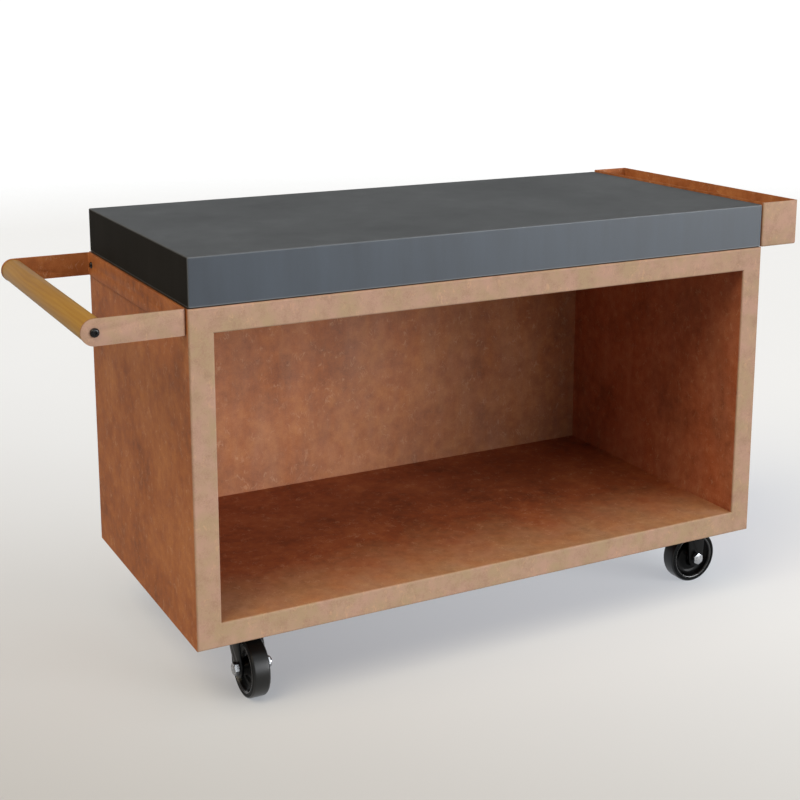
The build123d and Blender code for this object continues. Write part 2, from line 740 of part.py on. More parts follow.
os.makedirs("parts", exist_ok=True)
cabinet()
worktop()
planter()
handle()
for name, (centre, trail) in swivel_casters.items():
    swivel_caster(name, centre, trail)
for name, (centre, roll) in fixed_casters.items():
    fixed_caster(name, centre, roll)
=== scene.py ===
"""Looks of the prep table: finishes, fasteners, handle bar and wheels, and the studio that shows it."""
import json
import logging
import math
from dataclasses import dataclass, field, replace
from enum import Enum
from typing import Any, Callable, Sequence

import bmesh
import bpy
from mathutils import Matrix, Vector


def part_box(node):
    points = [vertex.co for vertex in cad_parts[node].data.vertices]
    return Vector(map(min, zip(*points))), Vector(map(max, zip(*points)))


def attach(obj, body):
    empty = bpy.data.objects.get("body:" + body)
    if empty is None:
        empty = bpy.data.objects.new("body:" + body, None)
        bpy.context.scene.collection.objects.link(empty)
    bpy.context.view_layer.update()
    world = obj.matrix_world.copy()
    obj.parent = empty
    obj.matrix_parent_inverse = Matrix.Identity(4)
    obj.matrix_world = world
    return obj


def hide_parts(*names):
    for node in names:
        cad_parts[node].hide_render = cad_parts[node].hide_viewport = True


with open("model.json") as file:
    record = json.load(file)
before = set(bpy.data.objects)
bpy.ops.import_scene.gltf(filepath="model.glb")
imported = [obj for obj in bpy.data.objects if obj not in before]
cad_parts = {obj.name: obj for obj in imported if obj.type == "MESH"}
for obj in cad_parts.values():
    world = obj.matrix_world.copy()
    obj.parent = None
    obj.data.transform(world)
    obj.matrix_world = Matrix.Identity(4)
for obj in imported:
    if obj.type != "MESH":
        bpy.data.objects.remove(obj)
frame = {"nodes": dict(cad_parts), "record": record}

MM = 0.001
ALONG = Vector((1.0, 0.0, 0.0))
BACK = Vector((0.0, 1.0, 0.0))
UP = Vector((0.0, 0.0, 1.0))
GLOSS = "gloss"
Point = tuple[float, float, float]
Colour = tuple[float, float, float]
Stop = tuple[float, Colour]
Ring = tuple[float, float]
log = logging.getLogger("prep_table")


class Slot(Enum):
    """The record's material slots."""

    WEATHERING_STEEL = "weathering_steel"
    WORKTOP_CERAMIC = "worktop_ceramic"
    GALVANISED_STEEL = "galvanised_steel"
    BRIGHT_ZINC = "bright_zinc"
    BLACK_SCREW = "black_screw"
    HANDLE_WOOD = "handle_wood"
    CASTER_BLACK = "caster_black"
    HUB_BLACK = "hub_black"
    TYRE_RUBBER = "tyre_rubber"
    BEARING_STEEL = "bearing_steel"


class Cut(Enum):
    """What a tool does to a piece."""

    REMOVE = "DIFFERENCE"
    KEEP = "INTERSECT"
    JOIN = "UNION"


class Wire:
    """A value in a node graph. Arithmetic on it adds Math nodes."""

    def __init__(self, graph: "Graph", socket: bpy.types.NodeSocket) -> None:
        """Keep the graph and the output socket."""
        self.graph = graph
        self.socket = socket

    def __add__(self, other: "Wire | float") -> "Wire":
        """Sum."""
        return self.graph.math("ADD", self, other)

    def __radd__(self, other: float) -> "Wire":
        """Sum with a number in front."""
        return self.graph.math("ADD", other, self)

    def __sub__(self, other: "Wire | float") -> "Wire":
        """Difference."""
        return self.graph.math("SUBTRACT", self, other)

    def __rsub__(self, other: float) -> "Wire":
        """Difference from a number."""
        return self.graph.math("SUBTRACT", other, self)

    def __mul__(self, other: "Wire | float") -> "Wire":
        """Product."""
        return self.graph.math("MULTIPLY", self, other)

    def __rmul__(self, other: float) -> "Wire":
        """Product with a number in front."""
        return self.graph.math("MULTIPLY", other, self)


class Graph:
    """A node tree that is written as expressions."""

    def __init__(self, tree: bpy.types.NodeTree) -> None:
        """Start from an empty tree."""
        self.tree = tree
        tree.nodes.clear()

    def add(self, kind: str, settings: dict[str, Any] | None = None, inputs: dict[Any, Any] | None = None,
            output: int | str = 0) -> "Wire | None":
        """Add any node.

        Args:
            kind: the node's type.
            settings: attributes set first; "stops" fills a colour ramp.
            inputs: a value or a wire for each socket, by name or index.
            output: the output socket that the wire carries.

        Returns:
            A wire from that output, or None for a node that ends the tree.
        """
        node = self.tree.nodes.new(kind)
        for key, value in (settings or {}).items():
            if key == "stops":
                self._fill(node.color_ramp, value)
            else:
                setattr(node, key, value)
        for key, value in (inputs or {}).items():
            if isinstance(value, Wire):
                self.tree.links.new(value.socket, node.inputs[key])
            else:
                node.inputs[key].default_value = value
        return Wire(self, node.outputs[output]) if node.outputs else None

    @staticmethod
    def _fill(ramp: bpy.types.ColorRamp, stops: Sequence[Stop]) -> None:
        """Give a colour ramp its stops."""
        while len(ramp.elements) < len(stops):
            ramp.elements.new(1.0)
        for element, (place, colour) in zip(ramp.elements, stops):
            element.position = place
            element.color = (*colour, 1.0)

    def math(self, operation: str, *values: Wire | float) -> Wire:
        """Add a Math node on its values, in order."""
        return self.add("ShaderNodeMath", {"operation": operation}, dict(enumerate(values)))

    def vector(self, operation: str, *values: Wire | Point, output: str = "Vector") -> Wire:
        """Add a Vector Math node on its values, in order."""
        return self.add("ShaderNodeVectorMath", {"operation": operation}, dict(enumerate(values)), output)

    def part(self, where: Wire, axis: str) -> Wire:
        """One coordinate of a place."""
        return self.add("ShaderNodeSeparateXYZ", None, {0: where}, axis)

    def place(self, stretch: Point | None = None, centre: Point | None = None) -> Wire:
        """Object coordinates, about a centre and multiplied along each axis where these are given."""
        where = self.add("ShaderNodeTexCoord", output="Object")
        if centre is not None:
            where = self.vector("SUBTRACT", where, centre)
        return where if stretch is None else self.vector("MULTIPLY", where, stretch)

    def noise(self, scale: float | Point, detail: float = 4.0, roughness: float = 0.55,
              centre: Point | None = None, twist: float = 0.0) -> Wire:
        """Noise over Object coordinates.

        Args:
            scale: its scale, the same along the axes or one for each.
            detail: how many finer layers it has.
            roughness: how strong these are.
            centre: where its pattern starts.
            twist: how far it is distorted.

        Returns:
            A value from 0 to 1, even about a half.
        """
        even = isinstance(scale, float)
        where = self.place(None if even else scale, centre)
        return self.add("ShaderNodeTexNoise", None,
                        {"Vector": where, "Scale": scale if even else 1.0, "Detail": detail,
                         "Roughness": roughness, "Distortion": twist})

    def spread(self, value: Wire, low: float, high: float, to_low: float = 0.0, to_high: float = 1.0) -> Wire:
        """Map a range of a value to another, clamped at its ends."""
        ends = {"From Min": low, "From Max": high, "To Min": to_low, "To Max": to_high}
        return self.add("ShaderNodeMapRange", {"clamp": True}, {"Value": value, **ends})

    def ramp(self, value: Wire, *stops: Stop) -> Wire:
        """Colour along a ramp."""
        return self.add("ShaderNodeValToRGB", {"stops": stops}, {"Fac": value})

    def mix(self, factor: Wire | float, first: Wire | Colour, second: Wire | Colour) -> Wire:
        """Mix two colours."""
        def paint(colour: Wire | Colour) -> Any:
            """A wire as it is, or a colour with its alpha."""
            return colour if isinstance(colour, Wire) else (*colour, 1.0)

        return self.add("ShaderNodeMix", {"data_type": "RGBA"},
                        {0: factor, 6: paint(first), 7: paint(second)}, output=2)

    def bump(self, height: Wire, strength: float, depth: float) -> Wire:
        """Normal of a surface with this height."""
        return self.add("ShaderNodeBump", None, {"Height": height, "Strength": strength, "Distance": depth})

    def gloss(self) -> Wire:
        """One where the mesh is marked as rubbed to a gloss."""
        return self.add("ShaderNodeAttribute", {"attribute_name": GLOSS}, output="Fac")

    def surface(self, inputs: dict[str, Any]) -> None:
        """Join a Principled shader with these inputs to the output."""
        shader = self.add("ShaderNodeBsdfPrincipled", None, inputs)
        self.add("ShaderNodeOutputMaterial", None, {"Surface": shader})


@dataclass(frozen=True)
class Finish:
    """A surface finish, painted once as a material."""

    slot: Slot

    def paint(self, graph: Graph) -> None:
        """Draw the finish into a material's graph."""
        raise NotImplementedError

    def material(self) -> bpy.types.Material:
        """Make the material."""
        made = bpy.data.materials.new(self.slot.value)
        made.use_nodes = True
        self.paint(Graph(made.node_tree))
        return made


@dataclass(frozen=True)
class RustPatina(Finish):
    """Weathering steel: a matt brown patina with runs and fine curled scratches, front folds paler by a
    painted sheen.

    Attributes:
        front: depth of the front faces, in metres.
        dust: share of the sheen colour that lies behind the folds in soft wisps, part dust and part painted
            sheen.
        lit_tan_share: share of a golden tan, painted light falling in at the front, that lies behind the
            folds with a ragged edge.
        reach: how far behind the front the dust and the painted tan thin out, in metres.
        fold: from where to where behind the front its painted sheen fades out, in millimetres.
        bloom: share of the painted sheen on the front.
        gap_shadow_level: height from which a painted shadow darkens the steel, in metres.
        gap_shadow_fade: how far below that height the painted shadow starts, in millimetres.
    """

    front: float = -0.325
    dust: float = 0.0
    lit_tan_share: float = 0.0
    reach: float = 1.0
    fold: tuple[float, float] = (1.5, 5.0)
    bloom: float = 0.92
    gap_shadow_level: float = 1.0
    gap_shadow_fade: float = 0.3
    # Colour of the painted shadow.
    gap_shadow: Colour = (0.045, 0.022, 0.012)
    dark: Colour = (0.190, 0.055, 0.015)
    middle: Colour = (0.345, 0.110, 0.032)
    light: Colour = (0.470, 0.184, 0.060)
    scratch: Colour = (0.560, 0.330, 0.190)
    scratch_share: float = 0.36
    # Colours of the painted sheen that makes the front paler.
    bloom_dark: Colour = (0.288, 0.179, 0.121)
    bloom_pink: Colour = (0.388, 0.244, 0.183)
    bloom_green: Colour = (0.336, 0.241, 0.150)
    # Colours of the painted light near the front, where light falls in.
    lit_tan_dark: Colour = (0.340, 0.158, 0.066)
    lit_tan_light: Colour = (0.570, 0.318, 0.150)
    ior: float = 1.28

    def paint(self, graph: Graph) -> None:
        """Draw clouds, mottling and runs, then painted light and sheen at the front, the scratches over all,
        and a painted shadow at the top.
        """
        cloud = graph.noise(7.0)
        mottle = graph.noise(42.0, 6.0, 0.62)
        speck = graph.noise(420.0, 3.0, 0.6)
        run = graph.noise((70.0, 70.0, 9.0), 5.0, 0.65)
        tone = 0.38 * cloud + 0.32 * mottle + 0.10 * run + 0.20 * speck
        body = graph.ramp(tone, (0.36, self.dark), (0.50, self.middle), (0.64, self.light))
        # Painted light: a golden tan near the front, where light falls in, fading out behind it.
        if self.lit_tan_share > 0.0:
            ragged = graph.part(graph.place(), "Y") + 0.5 * cloud - 0.25
            near = graph.spread(ragged, self.front, self.front + self.reach, self.lit_tan_share, 0.0)
            body = graph.mix(near, body, graph.ramp(tone, (0.38, self.lit_tan_dark), (0.62, self.lit_tan_light)))
        # Painted sheen: the front faces paler as if lit, and the dust wisps behind them, which are partly
        # painted sheen.
        coat = graph.mix(self._sheen_share(graph), body, self._bloom(graph, mottle, speck))
        height = graph.part(graph.place(), "Z")
        # Painted shadow: darker above the set height, as in the gap under the slab.
        gap_shadow_mask = graph.spread(height, self.gap_shadow_level - self.gap_shadow_fade * MM, self.gap_shadow_level)
        worn = graph.mix(self._scratches(graph), coat, self.scratch)
        graph.surface({
            "Base Color": graph.mix(gap_shadow_mask, worn, self.gap_shadow),
            "Roughness": graph.spread(0.5 * mottle + 0.5 * speck, 0.35, 0.65, 0.58, 0.72),
            "IOR": self.ior,
            "Normal": graph.bump(0.6 * speck + 0.4 * mottle, 0.22, 0.5 * MM),
        })

    def _sheen_share(self, graph: Graph) -> Wire:
        """Share of painted sheen: nearly one on the front faces, and the dust behind their folds, which is
        partly painted sheen too.
        """
        depth = graph.part(graph.place(), "Y")
        full, none = (self.front + edge * MM for edge in self.fold)
        folds = graph.spread(depth, full, none, self.bloom, 0.0)
        if self.dust == 0.0:
            return folds
        wisp = graph.spread(graph.noise((14.0, 14.0, 4.0), 5.0, 0.62), 0.32, 0.64)
        behind = graph.spread(depth, self.front, self.front + self.reach, self.dust, 0.0)
        return graph.math("MAXIMUM", folds, wisp * behind)

    def _bloom(self, graph: Graph, mottle: Wire, speck: Wire) -> Wire:
        """Colour of the painted sheen: a dusty tan that turns from pink to green in soft patches."""
        hue = graph.noise(20.0, 4.0, 0.6, centre=(1.7, 0.4, 2.3))
        tan = graph.mix(graph.spread(hue, 0.38, 0.62), self.bloom_pink, self.bloom_green)
        return graph.mix(graph.spread(0.6 * mottle + 0.4 * speck, 0.30, 0.53), self.bloom_dark, tan)

    def _scratches(self, graph: Graph) -> Wire:
        """Thin curled scratches in scattered patches."""
        curl = graph.noise((62.0, 62.0, 34.1), 2.5, 0.5, twist=1.1)
        line = graph.spread(graph.math("ABSOLUTE", curl - 0.5), 0.008, 0.034, 1.0, 0.0)
        patch = graph.spread(graph.noise(44.0, 3.0, centre=(0.9, 2.1, 0.3)), 0.51, 0.63)
        return line * patch * self.scratch_share


@dataclass(frozen=True)
class HonedCeramic(Finish):
    """Dark grey ceramic slab with a honed face, faint clouding and a painted highlight along its eased edges.
    """

    middle: Point
    half: Point
    dark: Colour = (0.038, 0.044, 0.052)
    light: Colour = (0.080, 0.091, 0.106)
    # Colour, share and width of the painted highlight along the edges.
    edge_highlight: Colour = (0.100, 0.105, 0.112)
    edge_highlight_share: float = 0.7
    edge_highlight_width: float = 3.0
    smooth: float = 0.62
    rough: float = 0.70
    ior: float = 1.42

    def paint(self, graph: Graph) -> None:
        """Draw clouds that run upright on the sides, a fine grain and a painted highlight on the edges."""
        cloud = graph.noise((3.2, 3.2, 1.0), 5.0, 0.6)
        mottle = graph.noise((26.0, 26.0, 4.0), 5.0, 0.6)
        grain = graph.noise(900.0, 2.0)
        tone = 0.45 * cloud + 0.35 * mottle + 0.20 * grain
        body = graph.ramp(tone, (0.36, self.dark), (0.64, self.light))
        graph.surface({
            "Base Color": graph.mix(self._edge_highlight_mask(graph) * self.edge_highlight_share, body, self.edge_highlight),
            "Roughness": graph.spread(0.5 * cloud + 0.5 * mottle, 0.35, 0.65, self.smooth, self.rough),
            "IOR": self.ior,
            "Normal": graph.bump(grain, 0.10, 0.2 * MM),
        })

    def _edge_highlight_mask(self, graph: Graph) -> Wire:
        """Painted highlight: one where two of the slab's outer faces meet, none on the faces."""
        away = graph.vector("ABSOLUTE", graph.place(centre=self.middle))
        width = self.edge_highlight_width * MM
        along, across, up = (graph.spread(graph.part(away, axis), half - width, half - 0.3 * width)
                             for axis, half in zip("XYZ", self.half))
        return graph.math("MINIMUM", along * across + across * up + up * along, 1.0)


@dataclass(frozen=True)
class OiledWood(Finish):
    """Golden hardwood, its grain running along the bar."""

    bar_centre: Point
    pith: Point = (0.035, 0.0, 0.055)
    dark: Colour = (0.252, 0.113, 0.017)
    middle: Colour = (0.358, 0.184, 0.030)
    light: Colour = (0.432, 0.250, 0.049)
    ior: float = 1.2

    def paint(self, graph: Graph) -> None:
        """Draw growth rings about a pith outside the bar, fibres and pores."""
        pith = tuple(Vector(self.bar_centre) + Vector(self.pith))
        bent = graph.noise((14.0, 2.2, 14.0), 3.0)
        across = graph.vector("LENGTH", graph.place((1.0, 0.03, 1.0), pith), output="Value")
        ring = graph.math("SINE", across * 700.0 + bent * 30.0) * 0.5 + 0.5
        fibre = graph.noise((240.0, 3.0, 240.0), 3.0, 0.5)
        pore = graph.spread(graph.noise((500.0, 14.0, 500.0), 2.0), 0.62, 0.74)
        tone = 0.08 * ring + 0.42 * fibre + 0.50 * bent
        body = graph.ramp(tone, (0.28, self.dark), (0.50, self.middle), (0.72, self.light))
        graph.surface({
            "Base Color": graph.mix(pore * 0.25, body, self.dark),
            "Roughness": graph.spread(fibre, 0.3, 0.7, 0.40, 0.52),
            "IOR": self.ior,
            "Normal": graph.bump(fibre - pore * 0.4, 0.08, 0.15 * MM),
        })


@dataclass(frozen=True)
class PlatedSteel(Finish):
    """Zinc on steel, bright or dull, with a faint crystal spangle."""

    dark: Colour = (0.31, 0.32, 0.34)
    light: Colour = (0.46, 0.47, 0.49)
    smooth: float = 0.20
    rough: float = 0.32

    def paint(self, graph: Graph) -> None:
        """Draw crystals and fine scratches."""
        crystal = graph.add("ShaderNodeTexVoronoi", {"feature": "F1"},
                            {"Vector": graph.place(), "Scale": 140.0}, "Distance")
        scratch = graph.noise((60.0, 60.0, 900.0), 3.0)
        tone = 0.4 * graph.noise(70.0) + 0.3 * crystal + 0.3 * scratch
        graph.surface({
            "Base Color": graph.ramp(tone, (0.3, self.dark), (0.7, self.light)),
            "Metallic": 1.0,
            "Roughness": graph.spread(tone, 0.3, 0.7, self.smooth, self.rough),
            "Normal": graph.bump(scratch, 0.05, 0.1 * MM),
        })


@dataclass(frozen=True)
class BlackCoat(Finish):
    """A black coating: oxide on screws, powder on forks, or the skin of moulded plastic."""

    dark: Colour
    light: Colour
    smooth: float
    rough: float
    ior: float
    peel: float = 700.0
    relief: float = 0.05

    def paint(self, graph: Graph) -> None:
        """Join the coat to the output."""
        graph.surface(self._coat(graph))

    def _coat(self, graph: Graph) -> dict[str, Any]:
        """Draw the peel of the coat and a little dust."""
        peel = graph.noise(self.peel, 2.0)
        dust = graph.noise(38.0, 5.0, 0.65)
        return {
            "Base Color": graph.ramp(0.7 * dust + 0.3 * peel, (0.35, self.dark), (0.65, self.light)),
            "Roughness": graph.spread(dust, 0.35, 0.65, self.smooth, self.rough),
            "IOR": self.ior,
            "Normal": graph.bump(peel, self.relief, 0.15 * MM),
        }


@dataclass(frozen=True)
class MouldedHub(BlackCoat):
    """Black moulded plastic whose rim lip is rubbed to a gloss."""

    lip_ior: float = 1.9
    lip_rough: float = 0.26

    def _coat(self, graph: Graph) -> dict[str, Any]:
        """Draw the plastic, and a clear coat on the lip."""
        gloss = {"Coat Weight": graph.gloss(), "Coat IOR": self.lip_ior, "Coat Roughness": self.lip_rough}
        return {**super()._coat(graph), **gloss}


@dataclass(frozen=True)
class WheelRubber(Finish):
    """Dark solid rubber with scuffs, and a dull sheen where it rolls."""

    dark: Colour = (0.0008, 0.0010, 0.0012)
    light: Colour = (0.0028, 0.0033, 0.0038)
    ior: float = 1.2
    tread_ior: float = 1.38
    tread_rough: float = 0.36

    def paint(self, graph: Graph) -> None:
        """Draw scuffs and a fine grain."""
        scuff = graph.noise(55.0, 6.0, 0.7)
        grain = graph.noise(1100.0, 2.0)
        graph.surface({
            "Base Color": graph.ramp(0.75 * scuff + 0.25 * grain, (0.36, self.dark), (0.66, self.light)),
            "Roughness": graph.spread(scuff, 0.35, 0.65, 0.34, 0.45),
            "IOR": self.ior,
            "Coat Weight": graph.gloss(),
            "Coat IOR": self.tread_ior,
            "Coat Roughness": self.tread_rough,
            "Normal": graph.bump(0.5 * grain + 0.5 * scuff, 0.12, 0.2 * MM),
        })


class FinishShelf:
    """All the finishes, by slot, and the dressing of pieces with them."""

    def __init__(self, shared: Sequence[Finish], own: dict[str, Finish]) -> None:
        """Paint every finish.

        Args:
            shared: one for each slot.
            own: finishes of nodes that differ from the rest of their slot.
        """
        self.slots = {part["node"]: Slot(part["material_slot"]) for part in frame["record"]["subparts"]}
        self.materials = {finish.slot: finish.material() for finish in shared}
        self.own = {node: finish.material() for node, finish in own.items()}

    def dress(self, piece: bpy.types.Object, node: str) -> None:
        """Give a piece the finish of a node."""
        piece.data.materials.clear()
        piece.data.materials.append(self.own.get(node, self.materials[self.slots[node]]))
        for polygon in piece.data.polygons:
            polygon.material_index = 0

    def dress_nodes(self) -> None:
        """Give every CAD node the finish that the record names."""
        for node in self.slots:
            self.dress(frame["nodes"][node], node)
            log.info("dressed %s", node)


@dataclass
class Bench:
    """A modeller's bench. Pieces are made upright about Z, in millimetres, and placed when they are done.

    Attributes:
        sides: how many sides the round of a fastener has.
        chamfer_circle: where a hexagon's chamfer meets its cap, as a share of its flats.
        chamfer_swing: where the chamfer starts outside the hexagon, as a share of its corners.
        overshoot: how far a tool stands past what it cuts, in millimetres.
        end_tilt: the least share of Z in the normal of an end face.
        ease_steps: how many faces round an edge.
        ease_angle: the least angle of an edge that is rounded, in degrees.
        smooth_angle: the least angle of an edge that stays sharp in the shading, in degrees.
        flat_angle: the angle up to which triangles are one face, in degrees.
        weld: how near two corners are one, in millimetres.
    """

    sides: int = 48
    chamfer_circle: float = 0.94
    chamfer_swing: float = 1.05
    overshoot: float = 1.0
    end_tilt: float = 0.9
    ease_steps: int = 2
    ease_angle: float = 40.0
    smooth_angle: float = 32.0
    flat_angle: float = 0.5
    weld: float = 0.001

    @staticmethod
    def only(*pieces: bpy.types.Object) -> None:
        """Select these pieces alone, the first one active."""
        bpy.ops.object.select_all(action="DESELECT")
        for piece in pieces:
            piece.select_set(True)
        bpy.context.view_layer.objects.active = pieces[0]

    def blank(self, radius: float, bottom: float, top: float, sides: int) -> bpy.types.Object:
        """Put a fresh upright blank on the bench.

        Args:
            radius: its radius, or that of its corners.
            bottom: height of its foot.
            top: height of its cap.
            sides: six for hexagon stock, many for round stock.

        Returns:
            The blank, its place in its mesh.
        """
        bpy.ops.object.select_all(action="DESELECT")
        bpy.ops.mesh.primitive_cylinder_add(vertices=sides, radius=radius * MM, depth=(top - bottom) * MM,
                                            location=(0, 0, (top + bottom) / 2 * MM))
        bpy.ops.object.transform_apply(location=True, rotation=True, scale=True)
        return bpy.context.object

    @staticmethod
    def pick(piece: bpy.types.Object, wanted: Callable[[Vector], bool]) -> None:
        """Select the faces whose normal is wanted, in edit mode."""
        bpy.ops.mesh.select_mode(type="FACE")
        bpy.ops.mesh.select_all(action="DESELECT")
        mesh = bmesh.from_edit_mesh(piece.data)
        for face in mesh.faces:
            face.select_set(wanted(face.normal))
        bmesh.update_edit_mesh(piece.data)

    def turn(self, rings: Sequence[Ring], sides: int) -> bpy.types.Object:
        """Turn a piece from its foot upwards.

        Args:
            rings: radius and height of each edge in turn. The first two have the same radius.
            sides: how many sides a round has.

        Returns:
            The turned piece, closed at both ends.
        """
        piece = self.blank(rings[0][0], rings[0][1], rings[1][1], sides)
        bpy.ops.object.mode_set(mode="EDIT")
        self.pick(piece, lambda normal: normal.z > self.end_tilt)
        for (last_radius, last_height), (radius, height) in zip(rings[1:], rings[2:]):
            bpy.ops.mesh.extrude_region()
            change = radius / last_radius
            bpy.ops.transform.resize(value=(change, change, 1), center_override=(0, 0, 0))
            bpy.ops.transform.translate(value=(0, 0, (height - last_height) * MM))
        bpy.ops.object.mode_set(mode="OBJECT")
        return piece

    def turn_both(self, rings: Sequence[Ring], sides: int, bored: bool = False) -> bpy.types.Object:
        """Turn a piece that is the same on both sides of its middle.

        Args:
            rings: radius and half width of each edge, from the outside inwards.
            sides: how many sides a round has.
            bored: whether the last rings are joined by a bore, or closed by flat ends.

        Returns:
            The turned piece.
        """
        piece = self.blank(rings[0][0], -rings[0][1], rings[0][1], sides)
        bpy.ops.object.mode_set(mode="EDIT")
        self.pick(piece, lambda normal: abs(normal.z) > self.end_tilt)
        for (last_radius, last_half), (radius, half) in zip(rings, rings[1:]):
            bpy.ops.mesh.extrude_region()
            change = radius / last_radius
            bpy.ops.transform.resize(value=(change, change, half / last_half), center_override=(0, 0, 0))
        if bored:
            bpy.ops.mesh.delete(type="ONLY_FACE")
            bpy.ops.mesh.select_mode(type="EDGE")
            bpy.ops.mesh.select_all(action="DESELECT")
            bpy.ops.mesh.select_non_manifold()
            bpy.ops.mesh.bridge_edge_loops()
        bpy.ops.mesh.select_all(action="SELECT")
        bpy.ops.mesh.normals_make_consistent(inside=False)
        bpy.ops.object.mode_set(mode="OBJECT")
        return piece

    def hexagon(self, flats: float, bottom: float, top: float, chamfer: float) -> bpy.types.Object:
        """A hexagon with its top corners turned off.

        Args:
            flats: width across the flats.
            bottom: height of its foot.
            top: height of its cap.
            chamfer: how far down the corners are turned off.

        Returns:
            The hexagon.
        """
        corner = flats / math.sqrt(3)
        piece = self.blank(corner, bottom, top, 6)
        outside = corner * self.chamfer_swing
        circle = flats / 2 * self.chamfer_circle
        rings = [(outside, bottom - self.overshoot), (outside, top - chamfer), (circle, top),
                 (circle, top + 0.2 * self.overshoot)]
        self.cut(piece, self.turn(rings, self.sides), Cut.KEEP)
        return piece

    def cut(self, piece: bpy.types.Object, tool: bpy.types.Object, how: Cut) -> None:
        """Cut or join a piece with a tool, which is used up."""
        modifier = piece.modifiers.new("cut", "BOOLEAN")
        modifier.operation = how.value
        modifier.solver = "EXACT"
        modifier.object = tool
        self.only(piece)
        bpy.ops.object.modifier_apply(modifier=modifier.name)
        self.scrap(tool)

    @staticmethod
    def scrap(*pieces: bpy.types.Object) -> None:
        """Clear pieces off the bench."""
        for piece in pieces:
            mesh = piece.data
            bpy.data.objects.remove(piece)
            bpy.data.meshes.remove(mesh)

    def ease(self, piece: bpy.types.Object, width: float) -> None:
        """Round the sharp edges of a piece."""
        modifier = piece.modifiers.new("ease", "BEVEL")
        modifier.width = width * MM
        modifier.segments = self.ease_steps
        modifier.limit_method = "ANGLE"
        modifier.angle_limit = math.radians(self.ease_angle)
        modifier.harden_normals = False
        self.only(piece)
        bpy.ops.object.modifier_apply(modifier=modifier.name)

    def smooth(self, piece: bpy.types.Object) -> None:
        """Shade round faces smooth and keep sharp edges."""
        self.only(piece)
        bpy.ops.object.shade_smooth_by_angle(angle=math.radians(self.smooth_angle))

    @staticmethod
    def mark(piece: bpy.types.Object, radius: float) -> None:
        """Mark a turned piece as glossy outside a radius."""
        gloss = piece.data.attributes.new(GLOSS, "FLOAT", "POINT")
        for mark, vertex in zip(gloss.data, piece.data.vertices):
            mark.value = float(vertex.co.xy.length > radius * MM)

    def eased_copy(self, node: str, width: float) -> bpy.types.Object:
        """A copy of a CAD node whose edges are eased.

        Args:
            node: the node's name.
            width: how wide its edges are rounded.

        Returns:
            The copy, with its own mesh.
        """
        piece = bpy.data.objects.new(node, frame["nodes"][node].data.copy())
        bpy.context.scene.collection.objects.link(piece)
        self.only(piece)
        bpy.ops.object.mode_set(mode="EDIT")
        bpy.ops.mesh.select_all(action="SELECT")
        bpy.ops.mesh.remove_doubles(threshold=self.weld * MM)
        bpy.ops.mesh.dissolve_limited(angle_limit=math.radians(self.flat_angle))
        bpy.ops.object.mode_set(mode="OBJECT")
        self.ease(piece, width)
        self.smooth(piece)
        return piece

    def placed(self, piece: bpy.types.Object, where: Vector, axis: Vector) -> bpy.types.Object:
        """A copy of a piece that stands at a place, its Z along an axis.

        Args:
            piece: the piece on the bench.
            where: its new place, in metres.
            axis: the way that its Z goes.

        Returns:
            The copy, with its own mesh and its place in it.
        """
        copy = piece.copy()
        copy.data = piece.data.copy()
        bpy.context.scene.collection.objects.link(copy)
        copy.matrix_world = Matrix.Translation(where) @ UP.rotation_difference(axis).to_matrix().to_4x4()
        self.only(copy)
        bpy.ops.object.transform_apply(location=True, rotation=True, scale=True)
        return copy

    def placed_all(self, piece: bpy.types.Object, seats: Sequence[tuple[Vector, Vector]]) -> bpy.types.Object:
        """Copies of a piece at several seats, joined as one group.

        Args:
            piece: the piece on the bench, which is used up.
            seats: a place and an axis for each copy.

        Returns:
            The group.
        """
        copies = [self.placed(piece, where, axis) for where, axis in seats]
        self.scrap(piece)
        self.only(*copies)
        bpy.ops.object.join()
        return bpy.context.object


@dataclass
class SubAssembly:
    """Pieces that are made together, each standing for the CAD node of its name."""

    bench: Bench
    pieces: dict[str, bpy.types.Object] = field(default_factory=dict, init=False)

    def build(self) -> None:
        """Make the pieces."""
        raise NotImplementedError

    def dress(self, shelf: FinishShelf) -> None:
        """Give each piece its finish and hand it over to its body."""
        record = frame["record"]
        bodies = {node: body for body, nodes in record["behaviour"]["bodies"].items() for node in nodes}
        for node, piece in self.pieces.items():
            piece.name = f"{node}_shown"
            piece.data.name = piece.name
            shelf.dress(piece, node)
            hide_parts(node)
            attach(piece, bodies[node])
            log.info("built %s on %s, %d faces", piece.name, bodies[node], len(piece.data.polygons))


@dataclass(frozen=True)
class ButtonScrew:
    """A button-head socket screw, M8 where nothing else is said, its seat at zero and its head upwards."""

    overall: float
    head_diameter: float = 14.0
    head: float = 4.4
    socket: float = 5.0
    shank: float = 8.0
    rim: float = 0.7
    rim_ease: float = 0.3
    point: float = 0.8
    point_flat: float = 0.2
    land_share: float = 0.72
    socket_floor: float = 0.4
    steps: int = 7

    def build(self, bench: Bench) -> bpy.types.Object:
        """Turn the shank and the domed head, and broach the socket."""
        edge = self.head_diameter / 2
        land = self.socket * self.land_share
        radius = self.shank / 2
        tip = radius - self.point
        end = self.head - self.overall
        flat = end + self.point_flat
        rings = [(tip, end), (tip, flat), (radius, flat + self.point), (radius, 0.0),
                 (edge - self.rim_ease, 0.0), (edge, self.rim_ease), (edge, self.rim)]
        for step in range(1, self.steps + 1):
            angle = math.pi / 2 * step / self.steps
            rings.append((land + (edge - land) * math.cos(angle),
                          self.rim + (self.head - self.rim) * math.sin(angle)))
        screw = bench.turn(rings, bench.sides)
        broach = bench.blank(self.socket / math.sqrt(3), self.head * self.socket_floor,
                             self.head + bench.overshoot, 6)
        bench.cut(screw, broach, Cut.REMOVE)
        bench.smooth(screw)
        return screw


